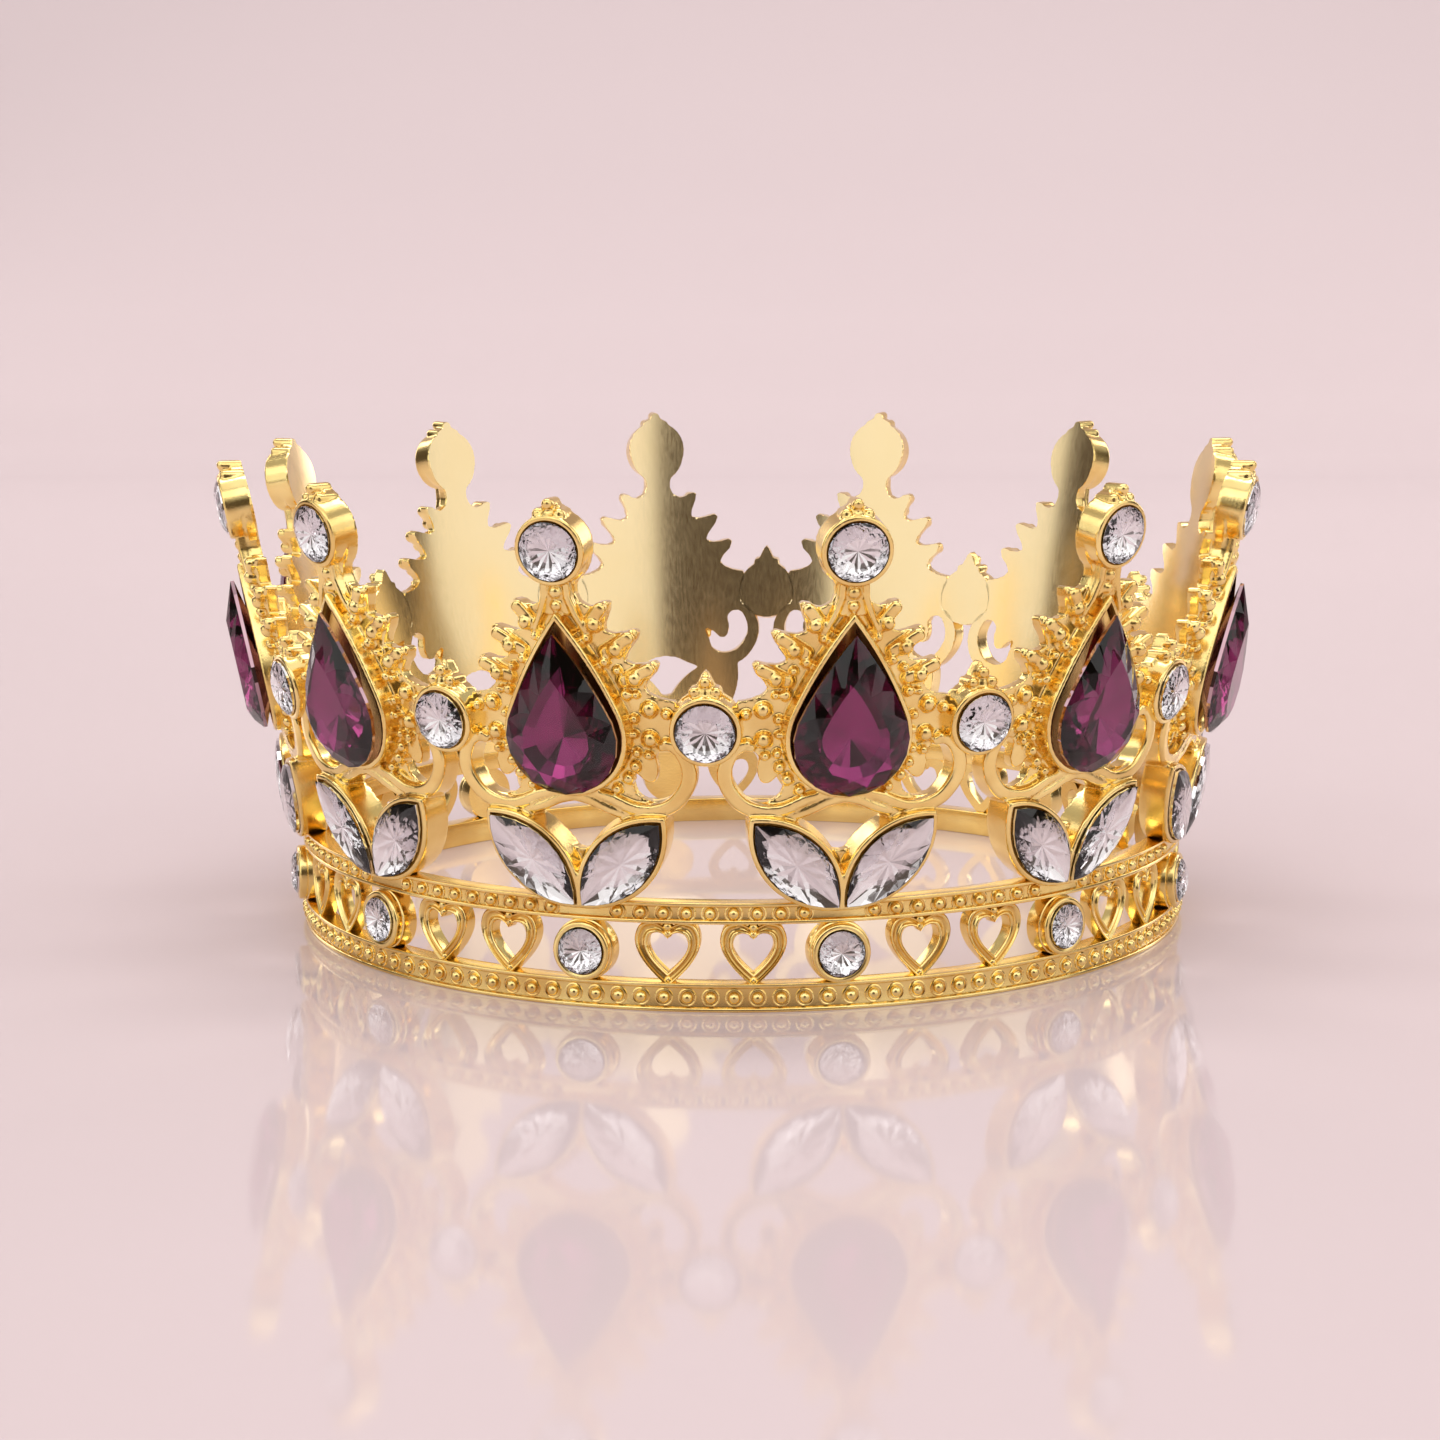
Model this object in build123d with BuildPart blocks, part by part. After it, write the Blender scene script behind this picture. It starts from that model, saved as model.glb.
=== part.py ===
from build123d import *
import os
from math import acos, atan2, cos, degrees, radians, sin, sqrt, tan

# A dress crown in gilt metal: a pierced band of beaded rails and hearts, with twelve
# leaning teeth and twelve links between them, all set with glass stones.
# Lengths are millimetres and angles are degrees.
# The origin is at the centre of the base, +Z up. Turns are counted from -Y towards +X,
# and a link stands at turn 0, so the teeth stand at 15, 45, 75 and so on.

# Driving dimensions of the ring
TOOTH_COUNT = 12
PITCH = 360 / TOOTH_COUNT
HEAD_RADIUS = 64.0
BAND_RADIUS = 67.0
BAND_HEIGHT = 15.0
TOP_HEIGHT = 70.4
LEAN = 11.0  # of the teeth, outwards from upright
CAST_DEPTH = 4.1  # from the smooth back of a casting to the lip of its settings
PLATE = 2.3  # thickness of the pierced plate behind the settings
SOLDER_GAP = 0.02  # where a casting hangs down in front of the upper rail
SECTOR = 46.0  # the turn of wall that one casting is cut from

# Rails: a flat ring with a sunk channel that holds a row of beads
RAIL_LOW = (0.0, 3.9)
RAIL_HIGH = (12.1, BAND_HEIGHT)
RAIL_EDGE = 0.55  # height of the raised edge on each side of the channel
RAIL_SINK = 0.4  # depth of the channel
BEAD_RADIUS = 0.85
BEADS_PER_TOOTH = 11
BEADS_UNDER_TOOTH = 2

# Hearts between the rails, 10 degrees apart
HEART_TURN = 5.0
HEART_LOBE = 2.45
HEART_LOBE_OUT = 2.05
HEART_LOBE_HEIGHT = 9.8
HEART_TIP_HEIGHT = 3.5
HEART_RIB = 1.45
HEART_BACK = 64.6
HEART_FACE = 66.6
HEART_BUD = 0.8

# Round stones: girdle radius and the wall of the setting round it
LIP = 0.8
STONE_GAP = 0.08
BAND_STONE = 3.15
BAND_STONE_HEIGHT = 8.0
BAND_CUP = 4.3
BAND_CUP_FACE = 68.1
LINK_STONE = 4.0
LINK_STONE_HEIGHT = 39.1
FINIAL_STONE = 4.0
FINIAL_STONE_HEIGHT = 63.2
ROUND_SIDES = 16
PEAR_SIDES = 24
MARQUISE_SIDES = 16

# Pear stones: the round end's radius and centre, the point above it
PEAR_RADIUS = 7.8
PEAR_POINT = 15.7
PEAR_HEIGHT = 38.2
PEAR_FLANK_TURN = 22.0

# Marquise stones, a crossed pair under each pear
MARQUISE_HALF_LENGTH = 8.3
MARQUISE_HALF_WIDTH = 3.9
MARQUISE_OUT = 6.3
MARQUISE_HEIGHT = 20.55
MARQUISE_SLOPE = 46.7

# Cut of the stones: the girdle's distance below the lip, and the crown's rise above it.
# The pears stand proud of their settings.
POCKET_DEPTH = 2.4
GIRDLE_DEPTH = 0.3
CROWN_RISE = 1.25
PEAR_GIRDLE_DEPTH = -1.3
PEAR_CROWN_RISE = 2.0
CROWN_TAPER = 48
PAVILION_TAPER = 38

# Pegs: rounded beads that stand on the plate, (distance from the tooth axis, height, radius)
PEGS = (
    (5.0, 53.4, 1.0), (7.7, 50.3, 1.05), (9.9, 46.4, 1.05),
    (6.0, 49.2, 0.8), (8.5, 45.1, 0.8),
    (11.3, 42.0, 1.0), (13.6, 41.4, 0.9), (11.0, 37.7, 1.0), (13.2, 37.2, 0.9),
    (9.3, 34.4, 0.8),
)
AXIS_PEGS = ((57.6, 1.0), (69.2, 0.8), (67.9, 0.75))
TREFOIL_OUT = 1.55
TREFOIL_HEIGHT = 68.1
PEG_DROP = 0.7  # of a peg's round end below the lip of the settings
PEG_LENGTH = CAST_DEPTH
TREFOIL_PEG = 0.7
LINK_PEGS = ((0.0, 45.4, 0.85), (1.5, 44.1, 0.75), (-1.5, 44.1, 0.75))

# Openings of the plate, (distance from the tooth axis, height): half of the triangle
# between the marquises, and the comma in each scroll
TRIANGLE = (
    (0, 28.7), (3.2, 28.3), (6.2, 27.4), (6.3, 26.2), (5.2, 25.2), (2.7, 23.4), (1.4, 22.3),
    (0, 22.0),
)
COMMA = (
    (13.7, 36.3), (14.9, 35.6), (15.4, 34.1), (15.2, 31.9), (13.8, 30.0), (11.0, 29.1),
    (8.9, 29.9), (8.3, 31.4), (7.6, 33.2), (8.9, 32.9), (10.2, 31.8), (11.4, 31.9),
    (12.0, 33.5), (11.8, 35.2), (12.5, 36.1),
)

os.makedirs("parts", exist_ok=True)


def back_radius(height):
    """Radius of the smooth back of the teeth."""
    return HEAD_RADIUS + tan(radians(LEAN)) * (height - BAND_HEIGHT)


def lip_radius(height):
    """Radius of the lips of the settings."""
    return back_radius(height) + CAST_DEPTH


def outward(turn):
    """Unit vector from the middle of the crown at a turn."""
    return Vector(sin(radians(turn)), -cos(radians(turn)), 0)


def round_plane(turn):
    """Upright plane through the axis: x runs out at a turn, y runs up."""
    out = outward(turn)
    return Plane(origin=(0, 0, 0), x_dir=out, z_dir=out.cross(Vector(0, 0, 1)))


def seat(turn, height, radius, lean=LEAN):
    """Plane on the wall: x runs round the crown, y up its slope and z out of it."""
    out = outward(turn)
    normal = out * cos(radians(lean)) - Vector(0, 0, 1) * sin(radians(lean))
    along = Vector(cos(radians(turn)), sin(radians(turn)), 0)
    return Plane(origin=out * radius + Vector(0, 0, height), x_dir=along, z_dir=normal)


def wall_seat(across, height, drop=0.0):
    """Seat at a distance round the wall from a casting's axis, below the lips by a drop."""
    turn = degrees(across / lip_radius(height))
    return seat(turn, height, lip_radius(height) - drop)


def disc(plane, radius):
    with BuildSketch(plane) as outline:
        Circle(radius)
    return outline.sketch


def pear(plane, grow=0.0):
    """A pear with its point up, grown by an offset: a round end and two flank arcs."""
    turn = radians(PEAR_FLANK_TURN)
    shift = (PEAR_POINT**2 - PEAR_RADIUS**2) / 2 / (PEAR_RADIUS - PEAR_POINT * sin(turn))
    base = PEAR_RADIUS + grow
    flank = base + shift
    point = sqrt(flank**2 - (shift * cos(turn)) ** 2) - shift * sin(turn)
    middle = (turn + atan2(point + shift * sin(turn), shift * cos(turn))) / 2
    side = (base * cos(turn), base * sin(turn))
    bulge = (flank * cos(middle) - shift * cos(turn), flank * sin(middle) - shift * sin(turn))
    with BuildSketch(plane) as outline:
        with BuildLine():
            ThreePointArc((-side[0], side[1]), (0, -base), side)
            ThreePointArc(side, bulge, (0, point))
            ThreePointArc((0, point), (-bulge[0], bulge[1]), (-side[0], side[1]))
        make_face()
    return outline.sketch


def marquise(plane, grow=0.0):
    """A marquise along x, grown by an offset: two arcs that meet in points."""
    bend = (MARQUISE_HALF_LENGTH**2 + MARQUISE_HALF_WIDTH**2) / 2 / MARQUISE_HALF_WIDTH
    sink = bend - MARQUISE_HALF_WIDTH
    tip = sqrt((bend + grow) ** 2 - sink**2)
    side = bend + grow - sink
    with BuildSketch(plane) as outline:
        with BuildLine():
            ThreePointArc((-tip, 0), (0, side), (tip, 0))
            ThreePointArc((tip, 0), (0, -side), (-tip, 0))
        make_face()
    return outline.sketch


def facets(outline, plane, count):
    """An outline drawn on Plane.XY as a many-sided polygon on another plane."""
    wire = outline.faces()[0].outer_wire()
    corners = [wire.position_at(step / count) for step in range(count)]
    with BuildSketch(plane) as cut:
        with BuildLine():
            Polyline(*[(corner.X, corner.Y) for corner in corners], close=True)
        make_face()
    return cut.sketch


def marquise_seat(side, drop=0.0):
    """Seat of one marquise of a pair; its x runs up and away from the tooth axis."""
    base = wall_seat(side * MARQUISE_OUT, MARQUISE_HEIGHT, drop)
    slope = radians(MARQUISE_SLOPE)
    along = base.x_dir * side * cos(slope) + base.y_dir * sin(slope)
    return Plane(origin=base.origin, x_dir=along, z_dir=base.z_dir)


def ring(points, start=0, arc=360, mode=Mode.ADD):
    """Turns a section of (radius, height) points round the crown's axis."""
    with BuildSketch(round_plane(start)) as section:
        with BuildLine():
            Polyline(*points, close=True)
        make_face()
    revolve(section.sketch, axis=Axis.Z, revolution_arc=arc, mode=mode)


def wall_ring(low, high, inner, outer, mode=Mode.ADD):
    """A sector of the leaning wall, between two distances out from its smooth back."""
    section = (
        (back_radius(low) + inner, low), (back_radius(low) + outer, low),
        (back_radius(high) + outer, high), (back_radius(high) + inner, high),
    )
    ring(section, -SECTOR / 2, SECTOR, mode)


def rail(low, high, bead_turns):
    """One rail of the band with its beads, as a single casting."""
    middle = (low + high) / 2
    channel = BAND_RADIUS - RAIL_SINK
    section = (
        (HEAD_RADIUS, low), (BAND_RADIUS, low),
        (BAND_RADIUS, low + RAIL_EDGE), (channel, low + RAIL_EDGE),
        (channel, high - RAIL_EDGE), (BAND_RADIUS, high - RAIL_EDGE),
        (BAND_RADIUS, high), (HEAD_RADIUS, high),
    )
    ring(section)
    beads = [seat(turn, middle, channel, 0).location for turn in bead_turns]
    with Locations(*beads):
        Sphere(BEAD_RADIUS)


def write(part, name):
    part.label = name
    export_step(part, f"parts/{name}.step")


def turned(part, turn):
    return part.rotate(Axis.Z, turn)


# The two rails. The beads that a tooth would cover are left off the upper one.
bead_pitch = PITCH / BEADS_PER_TOOTH
all_turns = [bead_pitch * step for step in range(TOOTH_COUNT * BEADS_PER_TOOTH)]
half_covered = bead_pitch * BEADS_UNDER_TOOTH / 2
open_turns = [t for t in all_turns if abs(t % PITCH - PITCH / 2) > half_covered]

with BuildPart() as lower_rail:
    rail(*RAIL_LOW, all_turns)
write(lower_rail.part, "lower_rail")

with BuildPart() as upper_rail:
    rail(*RAIL_HIGH, open_turns)
write(upper_rail.part, "upper_rail")


# Hearts: open frames that stand on the lower rail and carry the upper one.
def heart(grow):
    """Draws a heart, lobes up, in the current sketch; grow moves its outline outwards."""
    lobe = HEART_LOBE + grow
    drop = HEART_LOBE_HEIGHT - HEART_TIP_HEIGHT
    span = sqrt(HEART_LOBE_OUT**2 + drop**2)
    touch = atan2(-drop, -HEART_LOBE_OUT) + acos(HEART_LOBE / span)
    tip = HEART_TIP_HEIGHT + grow / sin(touch)
    flank_x = HEART_LOBE_OUT + lobe * cos(touch)
    flank_y = HEART_LOBE_HEIGHT + lobe * sin(touch)
    with BuildSketch() as outline:
        for side in (-1, 1):
            with Locations((side * HEART_LOBE_OUT, HEART_LOBE_HEIGHT)):
                Circle(lobe)
        with BuildLine():
            Polyline(
                (0, tip), (flank_x, flank_y), (HEART_LOBE_OUT, HEART_LOBE_HEIGHT),
                (-HEART_LOBE_OUT, HEART_LOBE_HEIGHT), (-flank_x, flank_y), close=True,
            )
        make_face()
    return outline.sketch


def between_rails(width):
    """Keeps only what lies between the two rails in the current sketch."""
    gap = RAIL_HIGH[0] - RAIL_LOW[1]
    with Locations((0, RAIL_LOW[1] + gap / 2)):
        Rectangle(width, gap, mode=Mode.INTERSECT)


with BuildPart() as heart_pair:
    for side in (-1, 1):
        with BuildSketch(seat(side * HEART_TURN, 0, HEART_BACK, 0)):
            add(heart(0))
            add(heart(-HEART_RIB), mode=Mode.SUBTRACT)
            with Locations((0, HEART_LOBE_HEIGHT + HEART_BUD / 2)):
                Circle(HEART_BUD)
            between_rails(4 * HEART_LOBE)
        extrude(amount=HEART_FACE - HEART_BACK)

for index in range(TOOTH_COUNT):
    write(turned(heart_pair.part, PITCH * index), f"heart_pair_{index + 1:02d}")

# Cups for the band's own stones, one under each tooth
with BuildPart() as band_cup:
    with BuildSketch(seat(0, 0, HEART_BACK, 0)):
        with Locations((0, BAND_STONE_HEIGHT)):
            Circle(BAND_CUP)
        between_rails(4 * BAND_CUP)
    extrude(amount=BAND_CUP_FACE - HEART_BACK)
    with BuildSketch(seat(0, BAND_STONE_HEIGHT, BAND_CUP_FACE, 0)):
        Circle(BAND_STONE + STONE_GAP)
    extrude(amount=-POCKET_DEPTH, mode=Mode.SUBTRACT)

for index in range(TOOTH_COUNT):
    write(turned(band_cup.part, PITCH * (index + 0.5)), f"band_cup_{index + 1:02d}")


def peg(radius):
    """A round-ended post along +Z, whose round end springs from the origin's height."""
    with BuildPart() as post:
        with BuildSketch(Plane.XZ):
            with BuildLine():
                Polyline((0, radius), (0, -PEG_LENGTH), (radius, -PEG_LENGTH), (radius, 0))
                RadiusArc((radius, 0), (0, radius), -radius)
            make_face()
        revolve(axis=Axis.Z)
    return post.part


def trim_back():
    """Cuts the current part flush with the smooth cone behind the teeth."""
    wall_ring(BAND_HEIGHT - 2, TOP_HEIGHT + 2, -3 * CAST_DEPTH, 0, Mode.SUBTRACT)


def pocket(outline):
    """Sinks a stone's pocket in the current part from its lip."""
    extrude(outline, amount=-POCKET_DEPTH, mode=Mode.SUBTRACT)


def link_silhouette():
    """Outline of the link's crest above its stone, on its upright plane."""
    with BuildSketch(Plane.XZ) as outline:
        with BuildLine():
            Polyline(
                (-2.9, 41.5), (-2.9, 43.6), (-1.9, 45.0), (0, 47.3),
                (1.9, 45.0), (2.9, 43.6), (2.9, 41.5), close=True,
            )
        make_face()
    return outline.sketch


# Link: a round setting with a small crest, between two teeth
def link_solid():
    """Draws the link without its pocket in the current part."""
    wall_ring(LINK_STONE_HEIGHT, TOP_HEIGHT, 0, PLATE)
    extrude(link_silhouette(), amount=2 * BAND_RADIUS, mode=Mode.INTERSECT)
    extrude(disc(wall_seat(0, LINK_STONE_HEIGHT), LINK_STONE + LIP), amount=-2 * CAST_DEPTH)
    for across, height, radius in LINK_PEGS:
        with Locations(wall_seat(across, height, PEG_DROP + radius).location):
            add(peg(radius))
    trim_back()


with BuildPart() as link_blank:
    link_solid()

with BuildPart() as link:
    add(link_blank.part)
    pocket(disc(wall_seat(0, LINK_STONE_HEIGHT), LINK_STONE + STONE_GAP))

for index in range(TOOTH_COUNT):
    write(turned(link.part, PITCH * index), f"link_casting_{index + 1:02d}")


# Tooth: pierced plate, pear, finial and two marquise settings, pegs and scrolls in one
# casting. Its outline is drawn on the upright plane through its axis.
def tooth_silhouette():
    with BuildSketch(Plane.XZ) as outline:
        with BuildLine():
            Polyline((0, TOP_HEIGHT), (1.2, 69.3), (2.4, 68.2), (2.6, 67.1))
            ThreePointArc((2.6, 67.1), (4.7, 63.2), (2.6, 59.3))
            Polyline(
                (2.6, 59.3), (2.6, 57.0), (3.6, 55.7), (7.0, 56.6),
                (5.6, 52.8), (7.6, 52.0), (10.8, 52.6),
                (8.3, 48.9), (10.0, 47.6), (13.4, 48.4),
                (10.8, 45.0), (13.4, 43.7), (18.2, 43.4), (18.2, 36.0), (16.3, 35.6),
            )
            ThreePointArc((16.3, 35.6), (15.8, 31.2), (12.9, 28.4))
            Polyline((12.9, 28.4), (10.5, 19.0), (4.5, BAND_HEIGHT), (0, BAND_HEIGHT))
            mirror(about=Plane.YZ)
        make_face()
        with BuildLine():
            Polyline(*TRIANGLE)
            mirror(about=Plane.YZ)
        make_face(mode=Mode.SUBTRACT)
        for side in (-1, 1):
            with BuildLine():
                Polyline(*[(side * x, y) for x, y in COMMA], close=True)
            make_face(mode=Mode.SUBTRACT)
    return outline.sketch


with BuildPart() as tooth:
    wall_ring(BAND_HEIGHT, TOP_HEIGHT + 1, 0, PLATE)
    extrude(tooth_silhouette(), amount=2 * BAND_RADIUS, mode=Mode.INTERSECT)
    deep = -2 * CAST_DEPTH
    extrude(pear(wall_seat(0, PEAR_HEIGHT), LIP), amount=deep)
    extrude(disc(wall_seat(0, FINIAL_STONE_HEIGHT), FINIAL_STONE + LIP), amount=deep)
    for side in (-1, 1):
        extrude(marquise(marquise_seat(side), LIP), amount=deep)
        for across, height, radius in PEGS:
            with Locations(wall_seat(side * across, height, PEG_DROP + radius).location):
                add(peg(radius))
        drop = PEG_DROP + TREFOIL_PEG
        with Locations(wall_seat(side * TREFOIL_OUT, TREFOIL_HEIGHT, drop).location):
            add(peg(TREFOIL_PEG))
    for height, radius in AXIS_PEGS:
        with Locations(wall_seat(0, height, PEG_DROP + radius).location):
            add(peg(radius))
    trim_back()
    pocket(pear(wall_seat(0, PEAR_HEIGHT), STONE_GAP))
    pocket(disc(wall_seat(0, FINIAL_STONE_HEIGHT), FINIAL_STONE + STONE_GAP))
    for side in (-1, 1):
        pocket(marquise(marquise_seat(side), STONE_GAP))
    inner, outer = HEAD_RADIUS - CAST_DEPTH, BAND_RADIUS + SOLDER_GAP
    rail_room = ((inner, 0), (outer, 0), (outer, BAND_HEIGHT), (inner, BAND_HEIGHT))
    ring(rail_room, -SECTOR / 2, SECTOR, Mode.SUBTRACT)
    for side in (-1, 1):
        add(turned(link_blank.part, side * PITCH / 2), mode=Mode.SUBTRACT)

for index in range(TOOTH_COUNT):
    write(turned(tooth.part, PITCH * (index + 0.5)), f"tooth_casting_{index + 1:02d}")


# Stones: a many-sided girdle with a crown above it and a pavilion that stands on the
# floor of its pocket.
def stone(outline, depth, rise):
    """Draws one stone on a girdle outline in the current part."""
    extrude(outline, amount=rise, taper=CROWN_TAPER)
    extrude(outline, amount=-(POCKET_DEPTH - depth), taper=PAVILION_TAPER)


def stones(name, outlines, start, depth=GIRDLE_DEPTH, rise=CROWN_RISE):
    """Writes twelve copies of a set of stones, turned round the crown, as one node."""
    with BuildPart() as cut:
        for outline in outlines:
            stone(outline, depth, rise)
    copies = [turned(cut.part, start + PITCH * index) for index in range(TOOTH_COUNT)]
    write(Compound(children=copies), name)


def round_girdle(plane, radius):
    return facets(disc(Plane.XY, radius), plane, ROUND_SIDES)


finial_seat = wall_seat(0, FINIAL_STONE_HEIGHT, GIRDLE_DEPTH)
link_seat = wall_seat(0, LINK_STONE_HEIGHT, GIRDLE_DEPTH)
band_seat = seat(0, BAND_STONE_HEIGHT, BAND_CUP_FACE - GIRDLE_DEPTH, 0)
pear_seat = wall_seat(0, PEAR_HEIGHT, PEAR_GIRDLE_DEPTH)
pear_girdle = facets(pear(Plane.XY), pear_seat, PEAR_SIDES)
marquise_cut = marquise(Plane.XY)
pair = [
    facets(marquise_cut, marquise_seat(side, GIRDLE_DEPTH), MARQUISE_SIDES) for side in (-1, 1)
]
half = PITCH / 2
stones("finial_stones", [round_girdle(finial_seat, FINIAL_STONE)], half)
stones("link_stones", [round_girdle(link_seat, LINK_STONE)], 0)
stones("band_stones", [round_girdle(band_seat, BAND_STONE)], half)
stones("pear_stones", [pear_girdle], half, PEAR_GIRDLE_DEPTH, PEAR_CROWN_RISE)
stones("marquise_stones", pair, half)
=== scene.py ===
from math import atan2, ceil, cos, hypot, pi, radians, sin, sqrt, tan

import bmesh
import bpy
from mathutils import Matrix, Vector


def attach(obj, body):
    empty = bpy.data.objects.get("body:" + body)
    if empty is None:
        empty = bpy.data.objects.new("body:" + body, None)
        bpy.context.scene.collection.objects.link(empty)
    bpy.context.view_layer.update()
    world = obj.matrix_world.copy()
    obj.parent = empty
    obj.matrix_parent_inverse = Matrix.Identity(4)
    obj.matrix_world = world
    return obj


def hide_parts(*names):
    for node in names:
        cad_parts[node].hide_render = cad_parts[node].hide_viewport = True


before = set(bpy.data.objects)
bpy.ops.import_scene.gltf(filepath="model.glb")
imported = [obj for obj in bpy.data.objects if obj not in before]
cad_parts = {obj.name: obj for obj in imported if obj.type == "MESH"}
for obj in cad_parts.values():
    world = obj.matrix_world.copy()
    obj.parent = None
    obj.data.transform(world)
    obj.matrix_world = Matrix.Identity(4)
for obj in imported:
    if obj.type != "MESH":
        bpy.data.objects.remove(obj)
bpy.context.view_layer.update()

# Everything is worked out in millimetres in the part's frame: the origin is at the centre
# of the base, +Z up. Turns run from -Y towards +X, and the teeth stand at 15, 45, 75 and
# so on, with a link half way between two teeth.


# ---- Camera ---------------------------------------------------------------------------
# A long lens a little above the crown, half a metre in front of it, looking slightly
# down on the band and through to the smooth backs of the far teeth.
MM = 0.001
CAMERA_PLACE = Vector((31.8, -489.6, 111.8))
CAMERA_PITCH = radians(9.63)
CAMERA_HEADING = radians(-4.096)
CAMERA_ROLL = radians(-0.378)
CAMERA_LENS = 81.2

forward = Vector((
    sin(CAMERA_HEADING) * cos(CAMERA_PITCH),
    cos(CAMERA_HEADING) * cos(CAMERA_PITCH),
    -sin(CAMERA_PITCH),
))
level = forward.cross(Vector((0, 0, 1))).normalized()
upright = level.cross(forward)
rightward = level * cos(CAMERA_ROLL) + upright * sin(CAMERA_ROLL)
topward = rightward.cross(forward)
camera_data = bpy.data.cameras.new("camera")
camera_data.sensor_width = 36
camera_data.lens = CAMERA_LENS
camera_data.clip_start = 0.01
camera = bpy.data.objects.new("camera", camera_data)
bpy.context.scene.collection.objects.link(camera)
camera.matrix_world = Matrix.Translation(CAMERA_PLACE * MM) @ Matrix(
    (rightward, topward, -forward)
).transposed().to_4x4()
bpy.context.scene.camera = camera


# ---- Rails ----------------------------------------------------------------------------
# Two flat rings of gilt cast metal, each with a sunk channel that holds a row of beads
# between two raised edges. The castings of the teeth are soldered to the upper one.
HEAD_RADIUS = 64.0
BAND_RADIUS = 67.0
BAND_HEIGHT = 15.0
RAIL_LOW = (0.0, 3.9)
RAIL_HIGH = (12.1, BAND_HEIGHT)
RAIL_EDGE = 0.55
RAIL_SINK = 0.4
RAIL_SOFT = 0.16
RAIL_STEPS = 528
BEAD_RADIUS = 0.82
BEAD_COLLAR = 1.12
BEAD_COLLAR_EDGE = 0.17
BEAD_SIDES = 20
# A bead from its foot up, in shares of its radius: (height, width)
BEAD_DOME = (
    (-0.35, 1.0), (0, 1.0), (0.26, 0.966), (0.5, 0.866), (0.71, 0.707), (0.866, 0.5),
    (0.966, 0.26),
)
TOOTH_COUNT = 12
PITCH = 360 / TOOTH_COUNT
HALF_PITCH = PITCH / 2
BEADS_PER_TOOTH = 11


def on_band(turn, height, radius):
    """Point in metres at a turn in radians, a height and a radius."""
    return Vector((radius * sin(turn), -radius * cos(turn), height)) * MM


def skin(shell, rings, joined=False):
    """Skins rings of points. A ring of one point closes an end to a tip, a larger one
    to a flat cap, and a joined skin runs from the last ring back to the first."""
    made = [[shell.verts.new(point) for point in ring] for ring in rings]
    pairs = list(zip(made, made[1:]))
    if joined:
        pairs.append((made[-1], made[0]))
    for low, high in pairs:
        count = max(len(low), len(high))
        for step in range(count):
            after = (step + 1) % count
            corners = [
                low[step % len(low)], low[after % len(low)],
                high[after % len(high)], high[step % len(high)],
            ]
            shell.faces.new(list(dict.fromkeys(corners)))
    if not joined:
        for end in (made[0], made[-1]):
            if len(end) > 2:
                shell.faces.new(end)


def finished_mesh(name, shell, materials, crease=40):
    """Turns a shell into a smooth-shaded mesh whose edges over the crease angle stay sharp."""
    bmesh.ops.recalc_face_normals(shell, faces=shell.faces)
    mesh = bpy.data.meshes.new(name)
    shell.to_mesh(mesh)
    shell.free()
    for finish in materials:
        mesh.materials.append(finish)
    mesh.shade_smooth()
    mesh.set_sharp_from_angle(angle=radians(crease))
    return mesh


def place(name, mesh, turn, slot, *nodes):
    """Stands a copy of a piece on the crown at a turn in degrees, for its CAD nodes."""
    turned = mesh.copy()
    turned.transform(Matrix.Rotation(radians(turn), 4, "Z"))
    piece = bpy.data.objects.new(name, turned)
    bpy.context.scene.collection.objects.link(piece)
    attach(piece, "root")
    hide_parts(*nodes)
    return piece


def new_group(name, inputs, outputs):
    """Starts a shader group whose inputs are (name, kind, value) and outputs (name, kind)."""
    group = bpy.data.node_groups.new(name, "ShaderNodeTree")
    for title, kind, value in inputs:
        socket = group.interface.new_socket(title, in_out="INPUT", socket_type=kind)
        if value is not None:
            socket.default_value = value
    for title, kind in outputs:
        group.interface.new_socket(title, in_out="OUTPUT", socket_type=kind)
    source = group.nodes.new("NodeGroupInput")
    result = group.nodes.new("NodeGroupOutput")
    return group, source, result


def add_noise(tree, where, scale, detail=3.0, rough=0.55):
    """Adds a noise texture on some coordinates; its scale is a number or a socket."""
    noise = tree.nodes.new("ShaderNodeTexNoise")
    noise.inputs["Detail"].default_value = detail
    noise.inputs["Roughness"].default_value = rough
    tree.links.new(where, noise.inputs["Vector"])
    if isinstance(scale, (int, float)):
        noise.inputs["Scale"].default_value = scale
    else:
        tree.links.new(scale, noise.inputs["Scale"])
    return noise.outputs["Fac"]


def add_range(tree, value, low, high, to_low, to_high):
    """Maps a value from one range to another, clamped."""
    ranged = tree.nodes.new("ShaderNodeMapRange")
    for index, amount in enumerate((low, high, to_low, to_high), start=1):
        ranged.inputs[index].default_value = amount
    tree.links.new(value, ranged.inputs[0])
    return ranged.outputs[0]


def add_math(tree, operation, first, second):
    """Adds a sum, product and so on of a socket and a socket or number."""
    worked = tree.nodes.new("ShaderNodeMath")
    worked.operation = operation
    for index, value in enumerate((first, second)):
        if isinstance(value, (int, float)):
            worked.inputs[index].default_value = value
        else:
            tree.links.new(value, worked.inputs[index])
    return worked.outputs[0]


def add_mix(tree, mask, first, second):
    """Mixes two colours by a mask."""
    mixed = tree.nodes.new("ShaderNodeMix")
    mixed.data_type = "RGBA"
    tree.links.new(mask, mixed.inputs["Factor"])
    for name, colour in (("A", first), ("B", second)):
        socket = [s for s in mixed.inputs if s.name == name and s.type == "RGBA"][0]
        if isinstance(colour, tuple):
            socket.default_value = (*colour, 1)
        else:
            tree.links.new(colour, socket)
    return [s for s in mixed.outputs if s.type == "RGBA"][0]


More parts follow.
